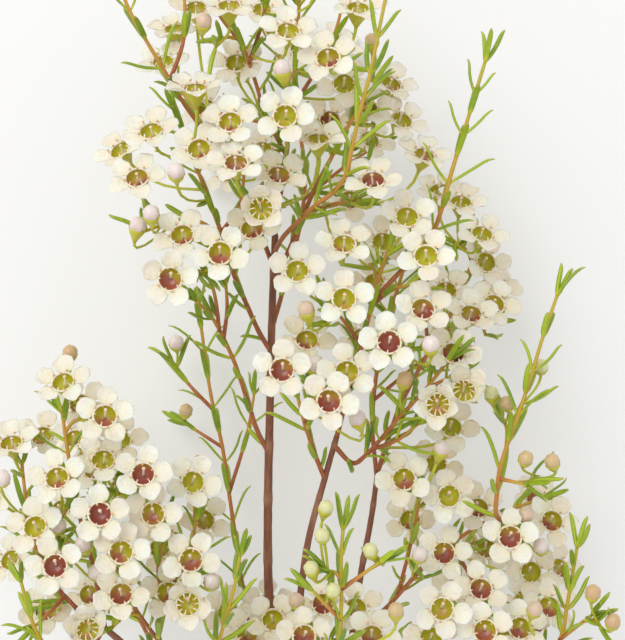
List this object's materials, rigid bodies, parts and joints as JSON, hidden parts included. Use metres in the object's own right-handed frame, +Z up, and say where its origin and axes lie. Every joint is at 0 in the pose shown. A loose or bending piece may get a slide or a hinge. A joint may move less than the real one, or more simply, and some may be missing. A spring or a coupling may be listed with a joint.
{
  "type": "waxflower stem",
  "caption": "Cut flowering stem lying flat: one woody stem forks into sprays of small five-petalled cup blooms, round buds and needle leaves.",
  "frame": {"origin": "middle of the stem's bounding box, on the table that it lies on", "axes": "+Y along the stem from its cut end to its crown, +Z up off the table, +X across the head"},
  "size_m": [0.187, 0.4118, 0.1085],
  "materials": {
    "bark": "thin rough red-brown bark",
    "foliage": "fresh green needle leaves on thin green twigs, slightly waxy",
    "blossom": "waxy white petals round olive to maroon cups, with green stalks and leaves"
  },
  "bodies": {
    "root": {"main_stem": "bark", "shoot_low_left": "foliage", "shoot_low_middle": "foliage", "shoot_low_middle_left": "foliage", "shoot_low_right": "foliage", "shoot_right": "foliage", "shoot_upper_left": "foliage", "shoot_upper_right": "foliage", "spray_corner": "blossom", "spray_crown": "blossom", "spray_crown_left": "blossom", "spray_left": "blossom", "spray_low_left": "blossom", "spray_low_left_inner": "blossom", "spray_low_left_tall": "blossom", "spray_low_middle": "blossom", "spray_low_middle_right": "blossom", "spray_low_right": "blossom", "spray_middle": "blossom", "spray_middle_low": "blossom", "spray_right": "blossom", "spray_right_crown": "blossom", "spray_right_far": "blossom", "spray_under_crown": "blossom", "spray_under_low_left": "blossom", "spray_under_low_right": "blossom", "spray_under_right": "blossom", "twig_background": "foliage"}
  },
  "joints": []
}
